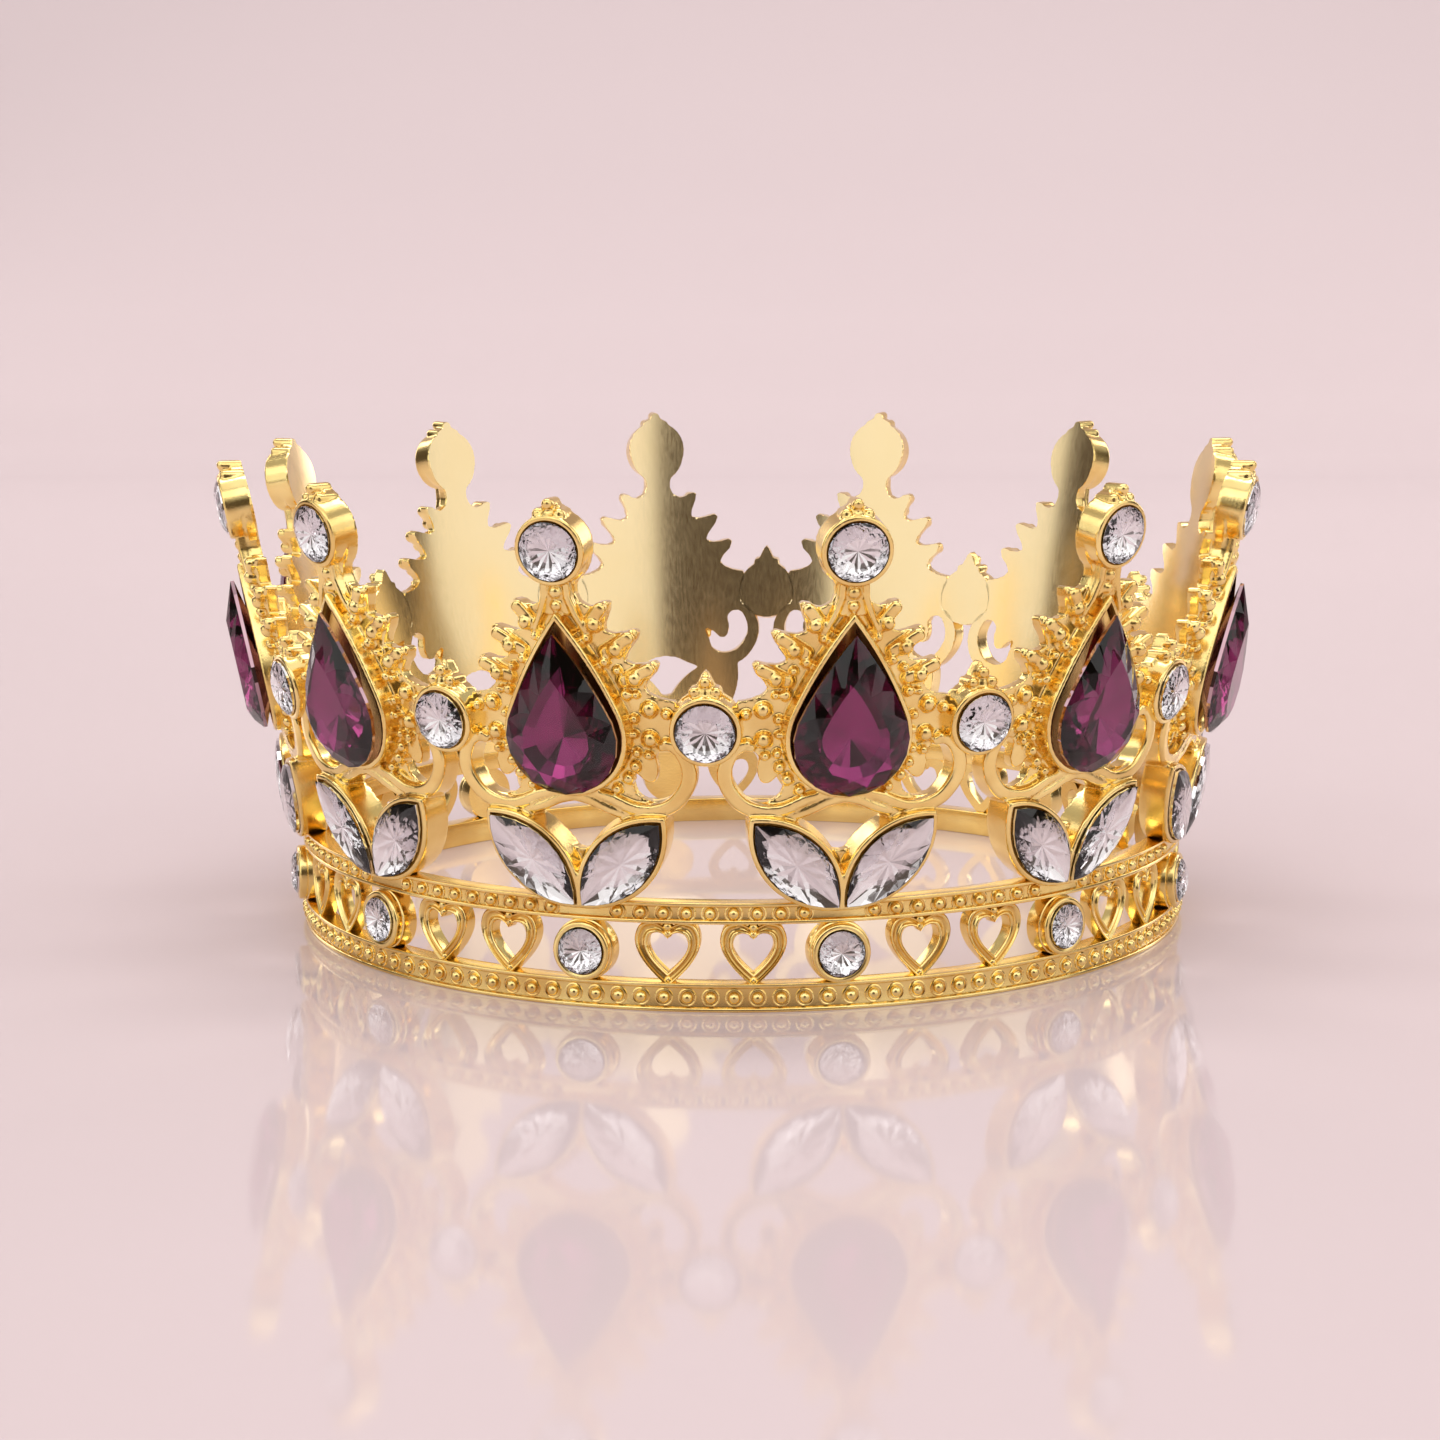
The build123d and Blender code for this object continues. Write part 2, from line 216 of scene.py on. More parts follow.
# Casting grain: slow clouds where the plating is thicker, and the fine pits of the mould
cast_grain, source, result = new_group(
    "cast_grain",
    [("Where", "NodeSocketVector", None), ("Clouds", "NodeSocketFloat", 120.0),
     ("Pits", "NodeSocketFloat", 2500.0)],
    [("Cloud", "NodeSocketFloat"), ("Pit", "NodeSocketFloat")],
)
cloud = add_noise(cast_grain, source.outputs["Where"], source.outputs["Clouds"])
pits = add_noise(cast_grain, source.outputs["Where"], source.outputs["Pits"], 4.0, 0.6)
cast_grain.links.new(add_range(cast_grain, cloud, 0.35, 0.65, 0, 1), result.inputs["Cloud"])
cast_grain.links.new(pits, result.inputs["Pit"])

# Edge wear and painted shade: raised edges are rubbed bright, and the corners between them stay
# dull and get a painted shade
edge_wear_and_shade, source, result = new_group(
    "edge_wear_and_shade",
    [("Where", "NodeSocketVector", None), ("Patches", "NodeSocketFloat", 400.0)],
    [("Rubbed", "NodeSocketFloat"), ("ShadedHollow", "NodeSocketFloat")],
)
geometry = edge_wear_and_shade.nodes.new("ShaderNodeNewGeometry")
patches = add_noise(edge_wear_and_shade, source.outputs["Where"], source.outputs["Patches"])
raised = add_range(edge_wear_and_shade, geometry.outputs["Pointiness"], 0.52, 0.60, 0, 1)
# Hollows, found by low pointiness: this mask paints shade into the gold's colour and also dulls
# its roughness
hollow = add_range(edge_wear_and_shade, geometry.outputs["Pointiness"], 0.49, 0.42, 0, 1)
patchy = add_range(edge_wear_and_shade, patches, 0.3, 0.6, 0.4, 1)
rubbed = add_math(edge_wear_and_shade, "MULTIPLY", raised, patchy)
edge_wear_and_shade.links.new(rubbed, result.inputs["Rubbed"])
edge_wear_and_shade.links.new(hollow, result.inputs["ShadedHollow"])


def use_group(tree, group, **values):
    """Places a shader group in a material on object coordinates."""
    where = tree.nodes.new("ShaderNodeTexCoord")
    placed = tree.nodes.new("ShaderNodeGroup")
    placed.node_tree = group
    tree.links.new(where.outputs["Object"], placed.inputs["Where"])
    for name, value in values.items():
        placed.inputs[name].default_value = value
    return placed.outputs


def add_bump(tree, shader, height, strength, depth):
    """Puts a height on a shader's normal; the depth is in millimetres."""
    bump = tree.nodes.new("ShaderNodeBump")
    bump.inputs["Strength"].default_value = strength
    bump.inputs["Distance"].default_value = depth * MM
    tree.links.new(height, bump.inputs["Height"])
    tree.links.new(bump.outputs["Normal"], shader.inputs["Normal"])


def gold_finish(name, light, hollow_shade, polish, dull, pit_depth):
    """Plated gold: a painted shade makes it deeper in hollows, and it is rubbed lighter and
    smoother on its edges.
    """
    finish = bpy.data.materials.new(name)
    finish.use_nodes = True
    tree = finish.node_tree
    shader = tree.nodes["Principled BSDF"]
    shader.inputs["Metallic"].default_value = 1.0
    grain = use_group(tree, cast_grain)
    wear = use_group(tree, edge_wear_and_shade)
    between = tuple((a + b) / 2 for a, b in zip(light, hollow_shade))
    toned = add_mix(tree, grain["Cloud"], light, between)
    # Painted shade: the hollows are mixed towards the darker shade colour
    shaded = add_mix(tree, wear["ShadedHollow"], toned, hollow_shade)
    tree.links.new(shaded, shader.inputs["Base Color"])
    clouded = add_range(tree, grain["Cloud"], 0, 1, polish, (polish + dull) / 2)
    dulled = add_math(tree, "MULTIPLY", wear["ShadedHollow"], dull - polish)
    rubbed_off = add_math(tree, "MULTIPLY", wear["Rubbed"], polish * 0.3)
    rough = add_math(tree, "SUBTRACT", add_math(tree, "ADD", clouded, dulled), rubbed_off)
    tree.links.new(rough, shader.inputs["Roughness"])
    add_bump(tree, shader, grain["Pit"], 0.35, pit_depth)
    return finish


GOLD_LIGHT = (1.0, 0.79, 0.33)
# The darker gold is a painted shade for the hollows, and the clouds run half way towards it
GOLD_HOLLOW_SHADE = (0.74, 0.42, 0.09)
GOLD_POLISH = 0.13
band_gold = gold_finish("band_gold", GOLD_LIGHT, GOLD_HOLLOW_SHADE, GOLD_POLISH, 0.30, 0.03)


def arc_points(centre_x, centre_y, radius, start, stop, steps):
    """Points on an arc between two angles in degrees, both ends included."""
    angles = [radians(start + (stop - start) * step / steps) for step in range(steps + 1)]
    return [(centre_x + radius * cos(a), centre_y + radius * sin(a)) for a in angles]


def rail_section(low, high):
    """Section of a rail as (radius, height) points, with softened edges."""
    soft = RAIL_SOFT
    channel = BAND_RADIUS - RAIL_SINK
    section = [(HEAD_RADIUS, low + soft)]
    section += arc_points(HEAD_RADIUS + soft, low + soft, soft, 210, 270, 2)
    section += arc_points(BAND_RADIUS - soft, low + soft, soft, 270, 360, 4)
    for edge, facing in ((low + RAIL_EDGE, 1), (high - RAIL_EDGE, -1)):
        rise = [
            (BAND_RADIUS, edge - 0.20), (BAND_RADIUS - 0.04, edge - 0.08),
            (BAND_RADIUS - 0.16, edge), (channel + 0.12, edge + 0.03),
            (channel + 0.02, edge + 0.10), (channel, edge + 0.22),
        ]
        if facing < 0:
            rise = [(radius, 2 * edge - height) for radius, height in reversed(rise)]
        section += rise
    section += arc_points(BAND_RADIUS - soft, high - soft, soft, 0, 90, 4)
    section += arc_points(HEAD_RADIUS + soft, high - soft, soft, 90, 150, 2)
    section += [(HEAD_RADIUS, high - soft)]
    return section


def band_bead(shell, turn, height, floor, radius):
    """A polished dome on the band at a turn in radians."""
    rings = []
    for lift, spread in BEAD_DOME:
        rings.append([
            on_band(
                turn + radius * spread * cos(2 * pi * side / BEAD_SIDES) / floor,
                height + radius * spread * sin(2 * pi * side / BEAD_SIDES),
                floor + radius * lift,
            )
            for side in range(BEAD_SIDES)
        ])
    rings.append([on_band(turn, height, floor + radius)])
    skin(shell, rings)


def bead_collar(shell, turn, height, floor):
    """The thin raised ring round a bead's seat."""
    rings = []
    for side in range(BEAD_SIDES):
        angle = 2 * pi * side / BEAD_SIDES
        rings.append([
            on_band(
                turn + (BEAD_COLLAR + BEAD_COLLAR_EDGE * cos(step)) * cos(angle) / floor,
                height + (BEAD_COLLAR + BEAD_COLLAR_EDGE * cos(step)) * sin(angle),
                floor + BEAD_COLLAR_EDGE * sin(step),
            )
            for step in (2 * pi * part / 8 for part in range(8))
        ])
    skin(shell, rings, joined=True)


def make_rail(name, node, low, high, bead_turns):
    """Places a rail between two heights, with beads at some turns in degrees."""
    shell = bmesh.new()
    section = rail_section(low, high)
    skin(shell, [
        [on_band(2 * pi * step / RAIL_STEPS, height, radius) for radius, height in section]
        for step in range(RAIL_STEPS)
    ], joined=True)
    for turn in bead_turns:
        band_bead(shell, radians(turn), (low + high) / 2, BAND_RADIUS - RAIL_SINK, BEAD_RADIUS)
        bead_collar(shell, radians(turn), (low + high) / 2, BAND_RADIUS - RAIL_SINK)
    mesh = finished_mesh(name, shell, [band_gold])
    place(name, mesh, 0, "gold_band", node)


bead_pitch = PITCH / BEADS_PER_TOOTH
bead_turns = [bead_pitch * step for step in range(TOOTH_COUNT * BEADS_PER_TOOTH)]
open_turns = [turn for turn in bead_turns if abs(turn % PITCH - HALF_PITCH) > bead_pitch]
make_rail("beaded_rail_low", "lower_rail", *RAIL_LOW, bead_turns)
make_rail("beaded_rail_high", "upper_rail", *RAIL_HIGH, open_turns)


# ---- Hearts ---------------------------------------------------------------------------
# Open hearts in pairs between the rails, cast with a groove that makes two thin rims of
# each frame, and a small bud in the cleft. They are soldered to both rails.
HEART_TURN = 5.0
HEART_MIDDLE = 8.3
# Right half of a heart, from its cleft to its point: (across, height)
HEART_HALF = (
    (0, 10.9), (0.8, 11.8), (2.3, 12.3), (3.8, 11.8), (4.5, 10.2), (4.3, 8.5), (3.25, 6.6),
    (1.65, 4.8), (0, 3.3),
)
HEART_FACE = 66.75
BUD_SINK = 0.7
# Buds on the heart's axis: (height, radius)
HEART_BUDS = ((10.6, 0.62), (11.6, 0.72), (4.3, 0.5))
# The frame across its width: (share of the outline's size, distance below the face)
HEART_PROFILE = (
    (1.0, 2.15), (1.0, 0.35), (0.985, 0.12), (0.955, 0.02), (0.92, 0.06), (0.89, 0.24),
    (0.86, 0.46), (0.80, 0.55), (0.745, 0.46), (0.72, 0.26), (0.70, 0.12), (0.67, 0.08),
    (0.635, 0.16), (0.61, 0.42), (0.605, 2.15),
)


def smooth_path(points, closed=False, steps=6):
    """A soft curve through some points of any number of values."""
    count = len(points)
    path = []
    for index in range(count if closed else count - 1):
        if closed:
            four = [points[(index + shift) % count] for shift in (-1, 0, 1, 2)]
        else:
            four = [points[min(max(index + shift, 0), count - 1)] for shift in (-1, 0, 1, 2)]
        for step in range(steps):
            t = step / steps
            path.append(tuple(
                0.5 * (2 * b + (c - a) * t + (2 * a - 5 * b + 4 * c - d) * t**2
                       + (3 * b - a - 3 * c + d) * t**3)
                for a, b, c, d in zip(*four)
            ))
    if not closed:
        path.append(tuple(points[-1]))
    return path


def place_round(name, mesh, start, slot, node):
    """Stands twelve copies of a piece round the crown, each for its own numbered node."""
    for index in range(TOOTH_COUNT):
        number = f"{index + 1:02d}"
        place(f"{name}_{number}", mesh, start + PITCH * index, slot, f"{node}_{number}")


def mirror_loop(half):
    """Closes the right half of an outline, given from top to bottom, with its left half."""
    return list(half) + [(-x, y) for x, y in reversed(half[1:-1])]


heart_shell = bmesh.new()
for side in (-1, 1):
    centre = radians(side * HEART_TURN)
    skin(heart_shell, [
        [
            on_band(
                centre + x * share / HEART_FACE,
                HEART_MIDDLE + (y - HEART_MIDDLE) * share,
                HEART_FACE - drop,
            )
            for x, y in mirror_loop(smooth_path(HEART_HALF, steps=5))
        ]
        for share, drop in HEART_PROFILE
    ], joined=True)
    for height, radius in HEART_BUDS:
        band_bead(heart_shell, centre, height, HEART_FACE - BUD_SINK, radius)
heart_mesh = finished_mesh("heart_pair", heart_shell, [band_gold])
place_round("hearts", heart_mesh, 0, "gold_band", "heart_pair")


# ---- Band cups ------------------------------------------------------------------------
# A round cup under each tooth holds a clear stone. It is turned from the same metal and
# soldered between the rails.
BAND_STONE = 3.15
BAND_STONE_HEIGHT = 8.0
BAND_CUP = 4.3
BAND_CUP_FACE = 68.1
CUP_DEPTH = 3.5
CUP_FLOOR = 2.9
CUP_SIDES = 64
# Across the cup from its back to the pocket's floor: (radius, distance below the face)
CUP_PROFILE = (
    (BAND_CUP, CUP_DEPTH), (BAND_CUP, 1.5), (BAND_CUP - 0.06, 1.3), (BAND_CUP - 0.22, 1.2),
    (BAND_CUP - 0.24, 0.35), (BAND_CUP - 0.32, 0.12), (BAND_CUP - 0.5, 0.0),
    (BAND_STONE + 0.35, 0.0), (BAND_STONE + 0.16, 0.10), (BAND_STONE + 0.08, 0.3),
    (BAND_STONE + 0.08, 0.95), (BAND_STONE - 0.3, 1.1), (0.5, CUP_FLOOR),
)

cup_shell = bmesh.new()
cup_rings = [[on_band(0, BAND_STONE_HEIGHT, BAND_CUP_FACE - CUP_DEPTH)]]
for radius, drop in CUP_PROFILE:
    cup_rings.append([
        on_band(0, BAND_STONE_HEIGHT + radius * sin(2 * pi * side / CUP_SIDES),
                BAND_CUP_FACE - drop)
        + Vector((radius * cos(2 * pi * side / CUP_SIDES), 0, 0)) * MM
        for side in range(CUP_SIDES)
    ])
cup_rings.append([on_band(0, BAND_STONE_HEIGHT, BAND_CUP_FACE - CUP_FLOOR)])
skin(cup_shell, cup_rings)
cup_mesh = finished_mesh("band_cup", cup_shell, [band_gold])
place_round("cup", cup_mesh, HALF_PITCH, "gold_band", "band_cup")


# ---- Teeth ----------------------------------------------------------------------------
# Each tooth is one gilt casting, smooth behind: a pierced plate with a pear setting, a
# round finial, a crossed pair of marquise settings, rays that end in beads, and scrolls.
# It leans outwards, and its foot hangs down in front of the upper rail.
LEAN = radians(11)
CAST_DEPTH = 4.1
PLATE = 1.75
LIP = 0.8
STONE_GAP = 0.08
BEAD_TOP = 3.4
FINIAL_STONE = 4.0
FINIAL_HEIGHT = 63.2
PEAR_RADIUS = 7.8
PEAR_POINT = 15.7
PEAR_HEIGHT = 38.2
PEAR_FLANK_TURN = radians(22)
MARQUISE_HALF_LENGTH = 8.3
MARQUISE_HALF_WIDTH = 3.9
MARQUISE_OUT = 6.3
MARQUISE_HEIGHT = 20.55
MARQUISE_SLOPE = radians(46.7)
LINK_STONE = 4.0
LINK_HEIGHT = 39.1
LINK_ACROSS = 19.05  # from the tooth's axis
PEAR_POCKET = 1.2
ROUND_POCKET = 0.5
POCKET_FLOOR = 3.4
VOXEL = 0.2
WALL_STEP = 1.5


def back_radius(height):
    """Radius of the smooth back of the teeth."""
    return HEAD_RADIUS + tan(LEAN) * (height - BAND_HEIGHT)


def lip_radius(height):
    """Radius of the lips of the settings."""
    return back_radius(height) + CAST_DEPTH


def on_wall(across, height, depth):
    """Point in metres at a distance round the wall, a height and a depth from the back."""
    return on_band(across / lip_radius(height), height, back_radius(height) + depth)


class Seat:
    """The plane of a setting's lip: x runs along it, y up it and z out of it."""

    def __init__(self, across, height, slope=0.0, side=1, lean=LEAN, radius=None):
        turn = across / lip_radius(height)
        out = Vector((sin(turn), -cos(turn), 0))
        along = Vector((cos(turn), sin(turn), 0))
        self.z = out * cos(lean) - Vector((0, 0, 1)) * sin(lean)
        level_up = self.z.cross(along)
        self.x = along * side * cos(slope) + level_up * sin(slope)
        self.y = self.z.cross(self.x)
        self.origin = out * (radius or lip_radius(height)) + Vector((0, 0, height))

    def point(self, x, y, z):
        """Point in metres at a place on the seat."""
        return (self.origin + self.x * x + self.y * y + self.z * z) * MM

    def back(self, x, y, inside=0.0):
        """The point straight behind (x, y) on the smooth back, or a little inside it."""
        depth = -CAST_DEPTH
        for _ in range(4):
            here = self.point(x, y, depth) / MM
            depth -= (hypot(here.x, here.y) - back_radius(here.z) - inside) * cos(LEAN)
        return self.point(x, y, depth)


def round_outline(radius):
    """Gives a function of grow that draws a round girdle."""
    def outline(grow=0.0, sides=64):
        angles = [2 * pi * side / sides for side in range(sides)]
        return [((radius + grow) * cos(a), (radius + grow) * sin(a)) for a in angles]
    return outline


def pear_outline(grow=0.0, sides=96):
    """A pear with its point up: a round end and two flank arcs. Starts at the point."""
    turn = PEAR_FLANK_TURN
    shift = (PEAR_POINT**2 - PEAR_RADIUS**2) / 2 / (PEAR_RADIUS - PEAR_POINT * sin(turn))
    flank = PEAR_RADIUS + grow + shift
    tip = sqrt(flank**2 - (shift * cos(turn)) ** 2) - shift * sin(turn)
    tip_angle = atan2(tip + shift * sin(turn), shift * cos(turn))
    flank_length = flank * (tip_angle - turn)
    round_length = (PEAR_RADIUS + grow) * (pi / 2 + turn)
    half = []
    for step in range(sides // 2 + 1):
        along = (flank_length + round_length) * step / (sides // 2)
        if along < flank_length:
            angle = tip_angle - along / flank
            half.append((flank * cos(angle) - shift * cos(turn),
                         flank * sin(angle) - shift * sin(turn)))
        else:
            angle = turn - (along - flank_length) / (PEAR_RADIUS + grow)
            half.append(((PEAR_RADIUS + grow) * cos(angle), (PEAR_RADIUS + grow) * sin(angle)))
    return half + [(-x, y) for x, y in reversed(half[1:-1])]


def marquise_outline(grow=0.0, sides=64):
    """A marquise along x: two arcs that meet in points. Starts at the point on +x."""
    length, width = MARQUISE_HALF_LENGTH, MARQUISE_HALF_WIDTH
    sink = (length**2 + width**2) / 2 / width - width
    bend = sink + width + grow
    reach = atan2(sqrt(bend**2 - sink**2), sink)
    upper = []
    for step in range(sides // 2):
        angle = reach - 2 * reach * step / (sides // 2)
        upper.append((bend * sin(angle), bend * cos(angle) - sink))
    return upper + [(-x, -y) for x, y in upper]


# The rounded outer edge of a lip: (growth of the stone's outline, height)
LIP_PROFILE = ((LIP, -0.30), (LIP - 0.07, -0.10), (LIP - 0.22, 0.0))


def setting(shell, seat, outline):
    """A solid block under a stone, from the smooth back up to the lip."""
    foot = outline(LIP)
    rings = [[seat.back(0, 0)]]
    for share in (0.5, 1.0):
        rings.append([seat.back(x * share, y * share) for x, y in foot])
    for grow, height in LIP_PROFILE:
        rings.append([seat.point(x, y, height) for x, y in outline(grow)])
    rings.append([seat.point(0, 0, 0)])
    skin(shell, rings)


def pocket(shell, seat, outline, depth):
    """The hollow that a stone sits in, as a solid to cut away."""
    rings = [[seat.point(0, 0, 1.0)]]
    for grow, height in ((STONE_GAP + 0.12, 1.0), (STONE_GAP + 0.12, -0.06), (STONE_GAP, -0.2),
                         (STONE_GAP, -depth - 0.35)):
        rings.append([seat.point(x, y, height) for x, y in outline(grow)])
    rings.append([seat.point(x * 0.3, y * 0.3, 0.05 - POCKET_FLOOR) for x, y in outline(0)])
    rings.append([seat.point(0, 0, -POCKET_FLOOR)])
    skin(shell, rings)


POST_SIDES = 18
POST_DOME = ((0, 1.0), (0.35, 0.937), (0.6, 0.8), (0.8, 0.6), (0.95, 0.31))


def bead(shell, across, height, radius, top=BEAD_TOP, base=0.6):
    """A bead on a post that stands on the wall."""
    rings = []
    levels = [(base, 1.0)] + [(top - radius + radius * lift, spread) for lift, spread in POST_DOME]
    for depth, spread in levels:
        rings.append([
            on_wall(across + radius * spread * cos(2 * pi * side / POST_SIDES),
                    height + radius * spread * sin(2 * pi * side / POST_SIDES), depth)
            for side in range(POST_SIDES)
        ])
    rings.append([on_wall(across, height, top)])
    skin(shell, rings)


def ridge(shell, path, roundness=1.0):
    """A ridge on the wall, along a path of (across, height, half width, top). The radius of
    its shoulders is a share of the half width."""
    shoulders = arc_points(0, 0, 1, 180, 90, 4) + arc_points(0, 0, 1, 90, 0, 4)
    rings = []
    count = len(path)
    for index, (across, height, half, top) in enumerate(path):
        before = path[max(index - 1, 0)]
        after = path[min(index + 1, count - 1)]
        run = hypot(after[0] - before[0], after[1] - before[1])
        side_x, side_y = (after[1] - before[1]) / run, -(after[0] - before[0]) / run
        soft = min(half * roundness, top)
        flat = half - soft
        section = [(-half, 0)] + [
            (soft * x + (flat if corner > 4 else -flat), top - soft + soft * y)
            for corner, (x, y) in enumerate(shoulders)
        ] + [(half, 0)]
        rings.append([
            on_wall(across + side_x * offset, height + side_y * offset, depth)
            for offset, depth in section
        ])
    skin(shell, rings)


def rounded_ends(path):
    """Adds a rounded start and end to a ridge's path."""
    def cap(end, inner):
        run = hypot(end[0] - inner[0], end[1] - inner[1])
        step_x, step_y = (end[0] - inner[0]) / run, (end[1] - inner[1]) / run
        caps = []
        for share, narrow in ((0.5, 0.87), (0.87, 0.5), (0.98, 0.2)):
            caps.append((end[0] + step_x * end[2] * share, end[1] + step_y * end[2] * share,
                         end[2] * narrow, end[3] - end[2] * (1 - narrow)))
        return caps
    return cap(path[0], path[1])[::-1] + list(path) + cap(path[-1], path[-2])


def mirrored(path, side):
    """A path on one side or the other of the tooth's axis."""
    return [(side * point[0], *point[1:]) for point in path]


def plate(shell, outline, holes, depth):
    """A flat pierced plate bent to the wall, from its outline and its holes."""
    flat = bmesh.new()
    for loop in [outline, *holes]:
        corners = [flat.verts.new((x, y, 0)) for x, y in loop]
        for first, second in zip(corners, corners[1:] + corners[:1]):
            flat.edges.new((first, second))
    bmesh.ops.triangle_fill(flat, use_beauty=True, edges=flat.edges[:])
    widest = max(abs(x) for x, _ in outline)
    cuts = ceil(widest / WALL_STEP)
    for cut in range(-cuts, cuts + 1):
        bmesh.ops.bisect_plane(
            flat, geom=flat.verts[:] + flat.edges[:] + flat.faces[:],
            plane_co=(cut * WALL_STEP, 0, 0), plane_no=(1, 0, 0),
        )
    front = bmesh.ops.extrude_face_region(flat, geom=flat.faces[:])["geom"]
    front = [item for item in front if isinstance(item, bmesh.types.BMVert)]
    back = set(flat.verts) - set(front)
    for corner in front:
        corner.co = on_wall(corner.co.x, corner.co.y, depth)
    for corner in back:
        corner.co = on_wall(corner.co.x, corner.co.y, 0)
    bent = bpy.data.meshes.new("plate")
    flat.to_mesh(bent)
    flat.free()
    shell.from_mesh(bent)
    bpy.data.meshes.remove(bent)


def fused(name, shell, cutter, materials):
    """Melts overlapping shells into one casting, trues its back and cuts the pockets."""
    bmesh.ops.recalc_face_normals(shell, faces=shell.faces)
    rough = bpy.data.meshes.new(name)
    shell.to_mesh(rough)
    shell.free()
    blank = bpy.data.objects.new(name, rough)
    bpy.context.scene.collection.objects.link(blank)
    remesh = blank.modifiers.new("melt", "REMESH")
    remesh.mode = "VOXEL"
    remesh.voxel_size = VOXEL * MM
    soften = blank.modifiers.new("soften", "SMOOTH")
    soften.factor = 0.5
    soften.iterations = 2
    bmesh.ops.recalc_face_normals(cutter, faces=cutter.faces)
    cut_mesh = bpy.data.meshes.new(name + "_pockets")
    cutter.to_mesh(cut_mesh)
    cutter.free()
    cut = bpy.data.objects.new(name + "_pockets", cut_mesh)
    bpy.context.scene.collection.objects.link(cut)
    true_back(blank)
    carve = blank.modifiers.new("carve", "BOOLEAN")
    carve.operation = "DIFFERENCE"
    carve.solver = "EXACT"
    carve.object = cut
    mesh = evaluated(blank)
    bpy.data.objects.remove(blank)
    bpy.data.objects.remove(cut)
    mesh.materials.clear()
    for finish in materials:
        mesh.materials.append(finish)
    for face in mesh.polygons:
        here = face.center / MM
        facing = face.normal.x * here.x + face.normal.y * here.y
        behind = hypot(here.x, here.y) < back_radius(here.z) + 0.06
        face.material_index = 1 if behind and facing < -0.8 * hypot(here.x, here.y) else 0
    mesh.shade_smooth()
    mesh.set_sharp_from_angle(angle=radians(45))
    return mesh


def evaluated(item):
    """The item's mesh with its modifiers applied."""
    bpy.context.view_layer.update()
    graph = bpy.context.evaluated_depsgraph_get()
    return bpy.data.meshes.new_from_object(item.evaluated_get(graph), depsgraph=graph)


def true_back(blank):
    """Applies the modifiers, then pulls the back exactly on to its cone."""
    mesh = evaluated(blank)
    blank.modifiers.clear()
    for corner in mesh.vertices:
        here = corner.co / MM
        radius = hypot(here.x, here.y)
        wanted = radius
        if abs(radius - back_radius(here.z)) < 0.8 * VOXEL:
            wanted = back_radius(here.z)
        if here.z < BAND_HEIGHT:
            wanted = max(wanted, HEAD_RADIUS + 0.4)
        corner.co.x *= wanted / radius
        corner.co.y *= wanted / radius
    blank.data = mesh


cast_gold = gold_finish("cast_gold", GOLD_LIGHT, GOLD_HOLLOW_SHADE, GOLD_POLISH, 0.32, 0.04)

# Brushing: long fine lines up the smooth backs
brushed_lines, source, result = new_group(
    "brushed_lines",
    [("Where", "NodeSocketVector", None), ("Lines", "NodeSocketFloat", 3000.0)],
    [("Line", "NodeSocketFloat"), ("Haze", "NodeSocketFloat")],
)
squeeze = brushed_lines.nodes.new("ShaderNodeVectorMath")
squeeze.operation = "MULTIPLY"
squeeze.inputs[1].default_value = (1, 1, 0.04)
brushed_lines.links.new(source.outputs["Where"], squeeze.inputs[0])
lines = add_noise(brushed_lines, squeeze.outputs["Vector"], source.outputs["Lines"], 2.0)
haze = add_noise(brushed_lines, source.outputs["Where"], 60.0)
brushed_lines.links.new(lines, result.inputs["Line"])
brushed_lines.links.new(haze, result.inputs["Haze"])

satin_gold = bpy.data.materials.new("satin_gold")
satin_gold.use_nodes = True
tree = satin_gold.node_tree
shader = tree.nodes["Principled BSDF"]
shader.inputs["Metallic"].default_value = 1.0
brushing = use_group(tree, brushed_lines)
SATIN_LIGHT = (0.95, 0.78, 0.48)
SATIN_DEEP = (0.91, 0.71, 0.38)
tree.links.new(add_mix(tree, brushing["Haze"], SATIN_LIGHT, SATIN_DEEP),
               shader.inputs["Base Color"])
tree.links.new(add_range(tree, brushing["Line"], 0.3, 0.7, 0.14, 0.20), shader.inputs["Roughness"])
add_bump(tree, shader, brushing["Line"], 0.06, 0.01)

# Openings of the plate: a triangle between the marquises and a comma in each scroll
TRIANGLE = (
    (0, 28.7), (3.2, 28.3), (6.2, 27.4), (6.3, 26.2), (5.2, 25.2), (2.7, 23.4), (1.4, 22.3),
    (0, 22.0),
)
COMMA = (
    (13.7, 36.3), (14.9, 35.6), (15.4, 34.1), (15.2, 31.9), (13.8, 30.0), (11.0, 29.1),
    (8.9, 29.9), (8.3, 31.4), (7.6, 33.2), (8.9, 32.9), (10.2, 31.8), (11.4, 31.9),
    (12.0, 33.5), (11.8, 35.2), (12.5, 36.1),
)
# Rays: (root, blunt end, bead, bead radius)
RAYS = (
    ((3.4, 52.4), (5.9, 55.5), (4.9, 53.3), 1.0),
    ((6.0, 49.5), (9.4, 51.6), (7.6, 50.0), 1.05),
    ((8.3, 45.7), (11.9, 47.4), (9.9, 46.1), 1.05),
)
# Beads that stand between the rays and round the arms: (across, height, radius)
SMALL_BEADS = (
    (3.7, 51.5, 0.6), (5.9, 48.3, 0.7), (7.6, 47.2, 0.55), (8.5, 43.9, 0.75), (9.9, 43.9, 0.5),
    (11.5, 41.9, 1.15), (13.8, 41.3, 0.7), (9.4, 40.6, 0.6), (11.3, 37.8, 1.15),
    (13.5, 37.3, 0.65), (9.3, 38.5, 0.5), (9.4, 35.9, 0.6), (11.0, 35.6, 0.6), (9.0, 34.0, 0.75),
    (7.9, 32.3, 0.8), (6.2, 30.8, 0.65),
)
